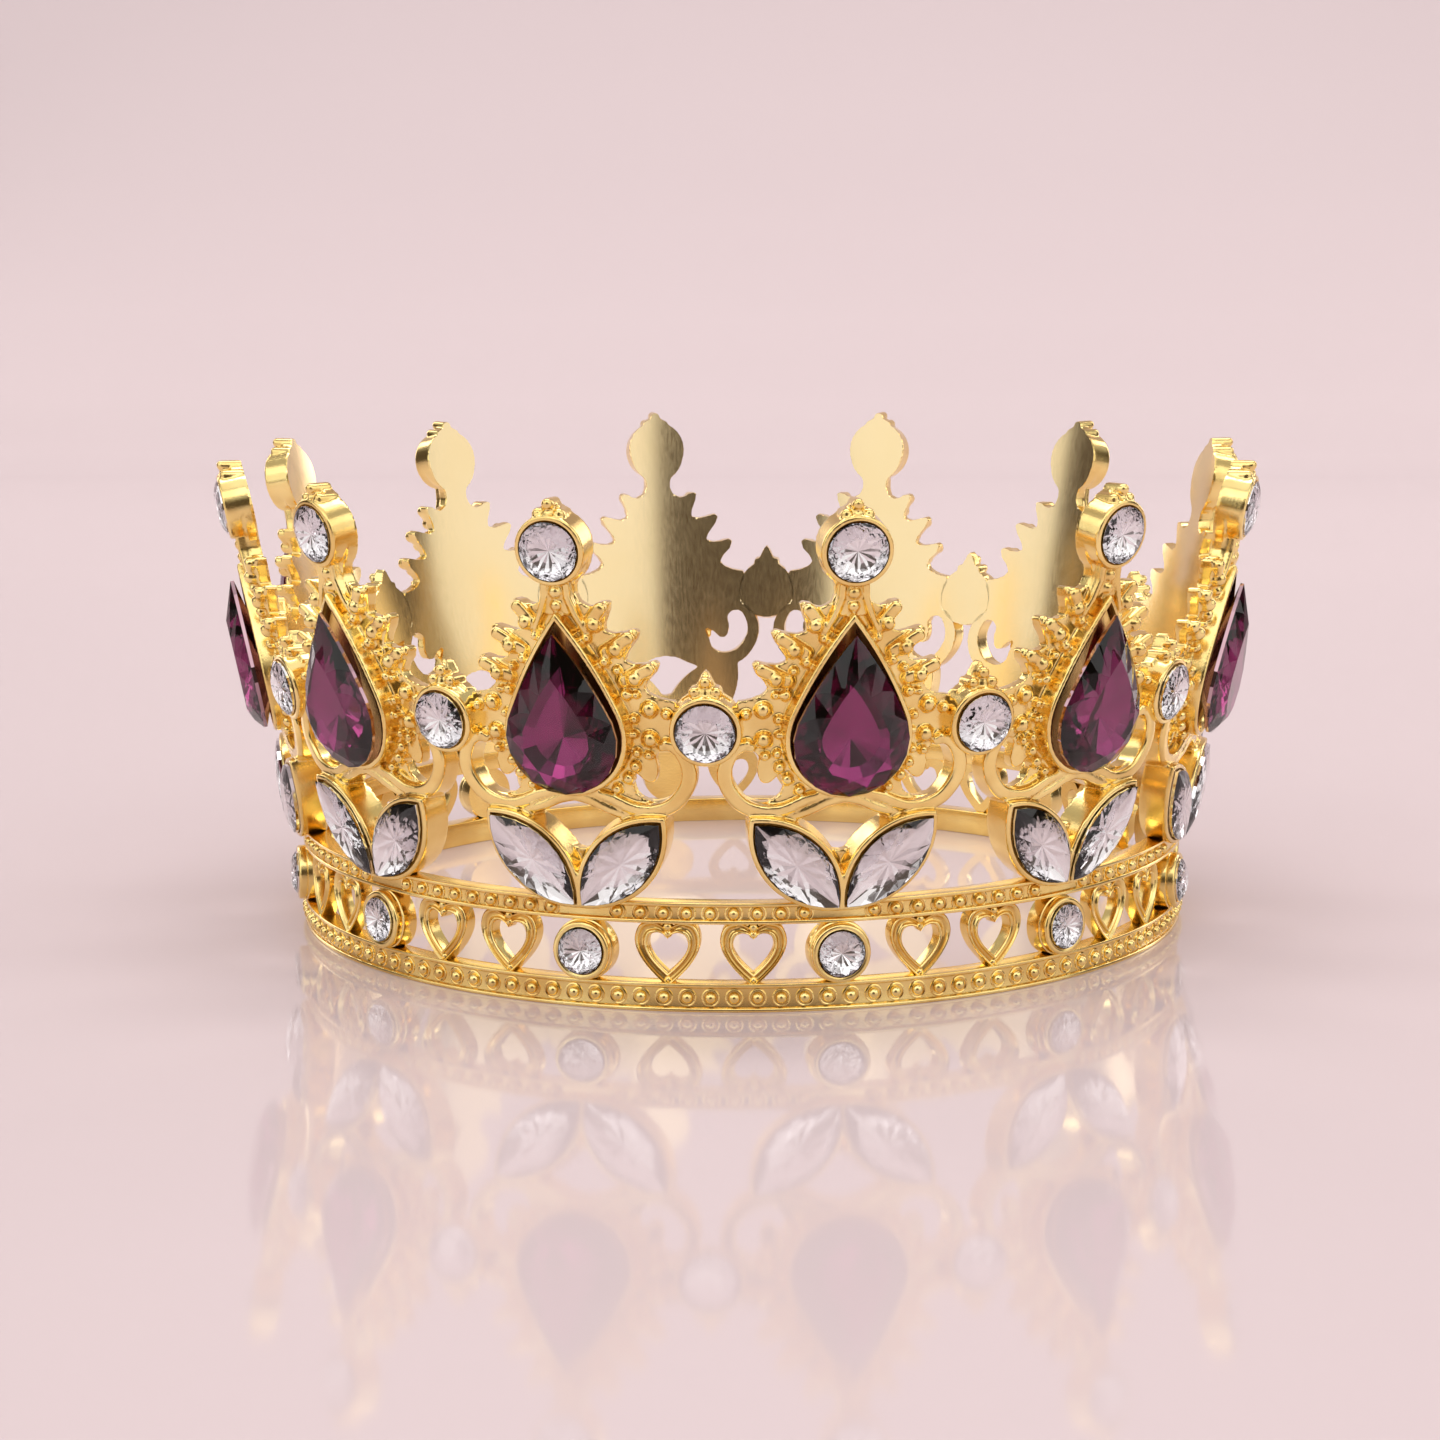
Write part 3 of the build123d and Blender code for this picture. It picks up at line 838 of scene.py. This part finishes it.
# Scroll: (across, height, half width, top)
SCROLL = (
    (2.4, 30.3, 0.5, 2.9), (5.4, 29.4, 0.7, 3.0), (8.4, 28.1, 0.8, 3.1), (11.2, 27.9, 0.95, 3.2),
    (13.9, 28.9, 1.05, 3.3), (15.9, 31.3, 1.05, 3.4), (16.4, 33.7, 1.05, 3.4),
    (15.5, 36.0, 0.9, 3.3), (14.1, 37.0, 0.7, 3.1), (12.9, 36.8, 0.6, 2.9),
)
# Ridge under the pear, neck of the finial and the flutes beside it, in the same way
UNDER_PEAR = (
    (0.0, 29.6, 0.7, 3.0), (2.2, 29.1, 0.7, 3.0), (4.4, 28.1, 0.65, 3.0), (7.6, 26.9, 0.6, 2.9),
)
NECK = ((0.0, 58.9, 1.9, 2.9), (0.0, 57.0, 1.7, 2.9), (0.0, 54.6, 2.3, 2.8))
NECK_FLUTE = (
    (1.55, 58.9, 0.5, 3.4), (1.65, 57.0, 0.5, 3.4), (2.5, 54.6, 0.5, 3.3), (3.5, 52.6, 0.4, 3.1),
)
# Beads over and under the finial: the side ones of the trefoil, and those on the axis
TREFOIL = (1.5, 68.0, 0.85)
AXIS_BEADS = ((69.3, 0.85), (67.9, 0.8), (57.6, 0.95), (55.8, 0.8))


def tooth_outline():
    """Outline of the plate, as (across, height) points."""
    right = [(0, 69.4), (1.2, 69.1), (2.2, 68.2), (2.5, 67.2)]
    right += arc_points(0, FINIAL_HEIGHT, FINIAL_STONE + LIP, 55, -58, 18)
    right += [
        (2.3, 58.6), (2.2, 57.4), (2.7, 56.3), (4.0, 55.7), (5.2, 55.9), (6.4, 56.5), (7.0, 56.3),
        (6.8, 55.2), (6.1, 53.6), (5.9, 52.4), (7.2, 52.1), (8.8, 52.4), (10.2, 52.8),
        (10.8, 52.3), (10.3, 51.2), (9.0, 49.6), (8.4, 48.4), (9.8, 48.0), (11.4, 48.2),
        (12.6, 48.5), (13.2, 48.1), (12.8, 47.0), (11.5, 45.7), (10.9, 44.7), (11.6, 43.9),
        (13.1, 43.3), (15.0, 43.0),
    ]
    right += arc_points(LINK_ACROSS, LINK_HEIGHT, LINK_STONE + LIP - STONE_GAP, 142, 228, 12)
    right += [(17.2, 34.9), (17.3, 33.6), (16.8, 31.2), (15.0, 28.4), (12.9, 27.3), (10.0, 22.5),
              (6.0, 17.2), (3.0, 14.7), (0, 14.6)]
    return mirror_loop(right)


pear_seat = Seat(0, PEAR_HEIGHT)
finial_seat = Seat(0, FINIAL_HEIGHT)
marquise_seats = [
    Seat(side * MARQUISE_OUT, MARQUISE_HEIGHT, MARQUISE_SLOPE, side) for side in (-1, 1)
]
finial_outline = round_outline(FINIAL_STONE)

tooth_shell = bmesh.new()
tooth_cutter = bmesh.new()
comma = smooth_path(COMMA, closed=True, steps=3)
plate(tooth_shell, tooth_outline(),
      [mirror_loop(TRIANGLE), comma, [(-x, y) for x, y in comma]], PLATE)
setting(tooth_shell, pear_seat, pear_outline)
setting(tooth_shell, finial_seat, finial_outline)
pocket(tooth_cutter, pear_seat, pear_outline, PEAR_POCKET)
pocket(tooth_cutter, finial_seat, finial_outline, ROUND_POCKET)
for seat in marquise_seats:
    setting(tooth_shell, seat, marquise_outline)
    pocket(tooth_cutter, seat, marquise_outline, ROUND_POCKET)
for side in (-1, 1):
    for root, end, middle, radius in RAYS:
        path = [(*root, 0.9, 2.7), (*end, 0.92, 3.3)]
        ridge(tooth_shell, rounded_ends(mirrored(path, side)), 0.7)
        bead(tooth_shell, side * middle[0], middle[1], radius, BEAD_TOP + 0.3)
    for across, height, radius in SMALL_BEADS:
        bead(tooth_shell, side * across, height, radius, BEAD_TOP - 0.2)
    ridge(tooth_shell, rounded_ends(mirrored(smooth_path(SCROLL), side)), 0.5)
    ridge(tooth_shell, rounded_ends(mirrored(smooth_path(UNDER_PEAR), side)), 0.6)
    bead(tooth_shell, side * TREFOIL[0], TREFOIL[1], TREFOIL[2], BEAD_TOP + 0.2, 0)
    ridge(tooth_shell, rounded_ends(mirrored(NECK_FLUTE, side)))
ridge(tooth_shell, NECK, 0.5)
for height, radius in AXIS_BEADS:
    bead(tooth_shell, 0, height, radius, BEAD_TOP + 0.3, 0)
tooth_mesh = fused("tooth", tooth_shell, tooth_cutter, [cast_gold, satin_gold])
place_round("tooth", tooth_mesh, HALF_PITCH, "gold_castings", "tooth_casting")


# ---- Links ----------------------------------------------------------------------------
# A round setting with a small beaded crest joins each tooth to the next at mid height.
# It is a casting of its own, soldered to the arms of both teeth.
LINK_CREST = (
    (0, 47.3), (0.5, 46.8), (1.0, 45.8), (1.5, 44.9), (2.2, 44.2), (3.4, 43.4), (3.4, 40.5),
    (-3.4, 40.5), (-3.4, 43.4), (-2.2, 44.2), (-1.5, 44.9), (-1.0, 45.8), (-0.5, 46.8),
)
LINK_BEADS = ((0, 45.7, 0.9), (0, 44.3, 0.8), (1.5, 44.4, 0.8), (-1.5, 44.4, 0.8))

link_seat = Seat(0, LINK_HEIGHT)
link_outline = round_outline(LINK_STONE)
link_shell = bmesh.new()
link_cutter = bmesh.new()
plate(link_shell, LINK_CREST, [], PLATE)
setting(link_shell, link_seat, link_outline)
pocket(link_cutter, link_seat, link_outline, ROUND_POCKET)
for across, height, radius in LINK_BEADS:
    bead(link_shell, across, height, radius, BEAD_TOP, 0)
link_mesh = fused("link", link_shell, link_cutter, [cast_gold, satin_gold])
place_round("link", link_mesh, 0, "gold_castings", "link_casting")


# ---- Clear stones ---------------------------------------------------------------------
# Moulded glass stones, cut like brilliants, with a silver foil on the pavilion. They are
# glued in their pockets and stand a little above the lips.


def smudges(tree, size):
    """A slow mask of finger marks and glue haze."""
    where = tree.nodes.new("ShaderNodeTexCoord")
    return add_noise(tree, where.outputs["Object"], size, 0.0)


GLASS_IOR = 1.54


def glass_finish(name, tint):
    """Clear or coloured glass with the faint haze of handling."""
    finish = bpy.data.materials.new(name)
    finish.use_nodes = True
    tree = finish.node_tree
    shader = tree.nodes["Principled BSDF"]
    shader.inputs["Transmission Weight"].default_value = 1.0
    shader.inputs["IOR"].default_value = GLASS_IOR
    haze = smudges(tree, 300.0)
    tree.links.new(add_mix(tree, haze, tint, tuple(0.97 * part for part in tint)),
                   shader.inputs["Base Color"])
    tree.links.new(add_range(tree, haze, 0.4, 0.8, 0.0, 0.02), shader.inputs["Roughness"])
    return finish


def foil_finish(name, light, dark):
    """The mirror foil behind a stone, slightly uneven."""
    finish = bpy.data.materials.new(name)
    finish.use_nodes = True
    tree = finish.node_tree
    shader = tree.nodes["Principled BSDF"]
    shader.inputs["Metallic"].default_value = 1.0
    patch = smudges(tree, 250.0)
    tree.links.new(add_mix(tree, patch, light, dark), shader.inputs["Base Color"])
    tree.links.new(add_range(tree, patch, 0.3, 0.8, 0.04, 0.08), shader.inputs["Roughness"])
    return finish


clear_glass = glass_finish("clear_glass", (1.0, 0.99, 0.99))
silver_foil = foil_finish("silver_foil", (0.93, 0.92, 0.93), (0.80, 0.79, 0.82))


def cut_stone(shell, seat, outline, sides, girdle, table, rise, depth, belt=0.25, keel=0.42,
              flute=0.0):
    """A stone with a table, stars, kites, a girdle belt and a pointed pavilion. The
    girdle is a distance above the lip; the table and keel are shares of the outline, and
    the flute is how much deeper every second facet edge of the pavilion runs."""
    edge = outline(0.0, sides)

    def corner(index, share, height):
        x, y = edge[index]
        return shell.verts.new(seat.point(x * share, y * share, height))

    def ring(share, height, odd):
        """Every second corner of a smaller outline."""
        return [corner(index, share, height) for index in range(odd, sides, 2)]

    half = sides // 2
    top = ring(table, girdle + rise, 0)
    stars = ring((1 + table) / 2 + 0.02, girdle + 0.58 * rise, 1)
    upper = [shell.verts.new(seat.point(x, y, girdle)) for x, y in edge]
    lower = [shell.verts.new(seat.point(x, y, girdle - belt)) for x, y in edge]
    mains = [
        corner(index, keel, girdle - belt - 0.66 * depth - flute * (index % 2))
        for index in range(sides)
    ]
    point = shell.verts.new(seat.point(0, 0, girdle - belt - depth))
    glass, foil, side = [], [], []
    glass.append(shell.faces.new(top))
    for index in range(half):
        after = (index + 1) % half
        here, between, there = 2 * index, 2 * index + 1, (2 * index + 2) % sides
        glass.append(shell.faces.new((top[index], stars[index], top[after])))
        glass.append(shell.faces.new((top[index], stars[index - 1], upper[here])))
        glass.append(shell.faces.new((top[index], upper[here], stars[index])))
        glass.append(shell.faces.new((stars[index], upper[here], upper[between])))
        glass.append(shell.faces.new((stars[index], upper[between], upper[there])))
        for first, second in ((here, between), (between, there)):
            belt_corners = (upper[first], upper[second], lower[second], lower[first])
            side.append(shell.faces.new(belt_corners))
            odd = max(first, second, key=lambda number: number % 2)
            even = first + second - odd
            foil.append(shell.faces.new((lower[first], lower[second], mains[odd])))
            foil.append(shell.faces.new((lower[even], mains[odd], mains[even])))
            foil.append(shell.faces.new((mains[first], mains[second], point)))
    for index, group in enumerate((glass, foil, side)):
        for face in group:
            face.material_index = index


def stone_mesh(name, shell, materials):
    """A stone's mesh, with flat facets."""
    mesh = finished_mesh(name, shell, materials, 1)
    mesh.shade_flat()
    return mesh


def place_stones(name, mesh, start, slot, node):
    """Sets one stone, or pair of stones, in each tooth or link."""
    for index in range(TOOTH_COUNT):
        place(f"{name}_{index + 1:02d}", mesh, start + PITCH * index, slot, node)


CLEAR = [clear_glass, silver_foil, silver_foil]

shell = bmesh.new()
cut_stone(shell, finial_seat, finial_outline, sides=24, girdle=0.2, table=0.52, rise=0.75,
          depth=0.85, belt=0.3, flute=0.07)
place_stones("finial_stone", stone_mesh("finial_stone", shell, CLEAR), HALF_PITCH,
             "clear_glass", "finial_stones")

shell = bmesh.new()
cut_stone(shell, link_seat, link_outline, sides=24, girdle=0.45, table=0.52, rise=0.9,
          depth=0.85, belt=0.4, flute=0.07)
place_stones("link_stone", stone_mesh("link_stone", shell, CLEAR), 0,
             "clear_glass", "link_stones")

band_seat = Seat(0, BAND_STONE_HEIGHT, lean=0, radius=BAND_CUP_FACE)
shell = bmesh.new()
cut_stone(shell, band_seat, round_outline(BAND_STONE), sides=24, girdle=0.25, table=0.52,
          rise=0.75, depth=0.7, belt=0.3, flute=0.06)
place_stones("band_stone", stone_mesh("band_stone", shell, CLEAR), HALF_PITCH,
             "clear_glass", "band_stones")

shell = bmesh.new()
for seat in marquise_seats:
    cut_stone(shell, seat, marquise_outline, sides=20, girdle=0.55, table=0.55, rise=0.8,
              depth=0.55, belt=0.5, flute=0.07)
place_stones("marquise_pair", stone_mesh("marquise_pair", shell, CLEAR), HALF_PITCH,
             "clear_glass", "marquise_stones")


# ---- Pear stones ----------------------------------------------------------------------
# Large moulded glass pears, purple from the coloured foil behind them. They have a wide
# table and a thick girdle, and are glued so that they stand well above their settings.
purple_glass = glass_finish("purple_glass", (0.86, 0.66, 0.80))
shader = purple_glass.node_tree.nodes["Principled BSDF"]
shader.inputs["Specular IOR Level"].default_value = 0.2
purple_foil = foil_finish("purple_foil", (0.30, 0.04, 0.16), (0.20, 0.025, 0.11))
edge_foil = foil_finish("edge_foil", (0.55, 0.37, 0.40), (0.38, 0.23, 0.27))
PEAR_STONE_REACH = 0.93


def pear_girdle(grow, sides):
    """The stone is a little shorter than its setting at the point."""
    return [(x, y * PEAR_STONE_REACH if y > 0 else y) for x, y in pear_outline(grow, sides)]


shell = bmesh.new()
cut_stone(shell, pear_seat, pear_girdle, sides=24, girdle=1.4, table=0.62, rise=1.9,
          depth=2.3, belt=0.5, keel=0.5)
pear_mesh = stone_mesh("pear_stone", shell, [purple_glass, purple_foil, edge_foil])
place_stones("pear_stone", pear_mesh, HALF_PITCH, "purple_glass", "pear_stones")


# ---- Room -----------------------------------------------------------------------------
# A seamless pale pink sweep, slightly glossy, lit by large soft boxes over and beside
# the crown, with the side of the camera left dim so that the metal has something to show.
SWEEP_FRONT = -6.0
SWEEP_BACK = 0.7
SWEEP_BEND = 1.6
SWEEP_TOP = 4.0
SWEEP_HALF_WIDTH = 4.0

sweep_profile = [(SWEEP_FRONT, 0.0)]
sweep_profile += arc_points(SWEEP_BACK, SWEEP_BEND, SWEEP_BEND, 270, 360, 24)
sweep_profile += [(SWEEP_BACK + SWEEP_BEND, SWEEP_TOP)]
sweep_shell = bmesh.new()
columns = [
    [sweep_shell.verts.new((x, y, z)) for y, z in sweep_profile]
    for x in (-SWEEP_HALF_WIDTH, SWEEP_HALF_WIDTH)
]
for row in range(len(sweep_profile) - 1):
    sweep_shell.faces.new((
        columns[0][row], columns[1][row], columns[1][row + 1], columns[0][row + 1],
    ))
sweep_mesh = bpy.data.meshes.new("sweep")
sweep_shell.to_mesh(sweep_mesh)
sweep_shell.free()
sweep_mesh.shade_smooth()
sweep_paint = bpy.data.materials.new("sweep_paint")
sweep_paint.use_nodes = True
tree = sweep_paint.node_tree
shader = tree.nodes["Principled BSDF"]
mottle = smudges(tree, 3.0)
tree.links.new(add_mix(tree, mottle, (0.735, 0.612, 0.625), (0.715, 0.592, 0.605)),
               shader.inputs["Base Color"])
tree.links.new(add_range(tree, mottle, 0.3, 0.7, 0.035, 0.06), shader.inputs["Roughness"])
shader.inputs["Specular IOR Level"].default_value = 0.35
sweep_mesh.materials.append(sweep_paint)
sweep = bpy.data.objects.new("sweep", sweep_mesh)
bpy.context.scene.collection.objects.link(sweep)

# Soft boxes: name, place, size, power and colour; each one faces the middle of the crown
LIT_POINT = Vector((0, 0, 0.035))
SOFT_BOXES = (
    ("overhead", (0.0, 0.1, 1.5), (1.6, 1.6), 4.6, (1.0, 0.98, 0.97)),
    ("left_front", (-1.06, -0.75, 0.55), (1.8, 1.1), 5.9, (1.0, 0.99, 0.97)),
    ("right_front", (1.12, -0.62, 0.55), (1.8, 1.1), 5.9, (1.0, 0.98, 0.96)),
    ("high_front", (0.0, -1.0, 1.15), (1.5, 0.7), 3.8, (1.0, 0.99, 0.98)),
    ("left_rear", (-0.9, 0.8, 0.5), (0.3, 0.9), 2.0, (1.0, 0.98, 0.97)),
    ("right_rear", (0.9, 0.8, 0.5), (0.3, 0.9), 2.0, (1.0, 0.98, 0.97)),
)
for name, spot, size, power, colour in SOFT_BOXES:
    box = bpy.data.lights.new(name, "AREA")
    box.shape = "RECTANGLE"
    box.size, box.size_y = size
    box.energy = power
    box.color = colour
    lamp = bpy.data.objects.new(name, box)
    bpy.context.scene.collection.objects.link(lamp)
    lamp.location = spot
    lamp.rotation_euler = (LIT_POINT - Vector(spot)).to_track_quat("-Z", "Y").to_euler()

# A wide lamp overhead, aimed at the wall of the sweep
wash = bpy.data.lights.new("wall_wash", "AREA")
wash.shape = "RECTANGLE"
wash.size, wash.size_y = 2.5, 0.8
wash.energy = 23.0
washer = bpy.data.objects.new("wall_wash", wash)
bpy.context.scene.collection.objects.link(washer)
washer.location = (0, 0.6, 2.0)
washer.rotation_euler = Vector((0, 1.2, -1.6)).to_track_quat("-Z", "Y").to_euler()

# The rest of the room: dim and warm round the crown, with a pale ceiling over it
ROOM_DIM = (0.08, 0.06, 0.045)
ROOM_CEILING = (0.50, 0.485, 0.475)
world = bpy.data.worlds.new("room")
world.use_nodes = True
tree = world.node_tree
background = tree.nodes["Background"]
where = tree.nodes.new("ShaderNodeTexCoord")
split = tree.nodes.new("ShaderNodeSeparateXYZ")
tree.links.new(where.outputs["Generated"], split.inputs[0])
ceiling = add_range(tree, split.outputs["Z"], 0.30, 0.45, 0, 1)
tree.links.new(add_mix(tree, ceiling, ROOM_DIM, ROOM_CEILING), background.inputs["Color"])
bpy.context.scene.world = world
bpy.context.scene.view_settings.view_transform = "Standard"
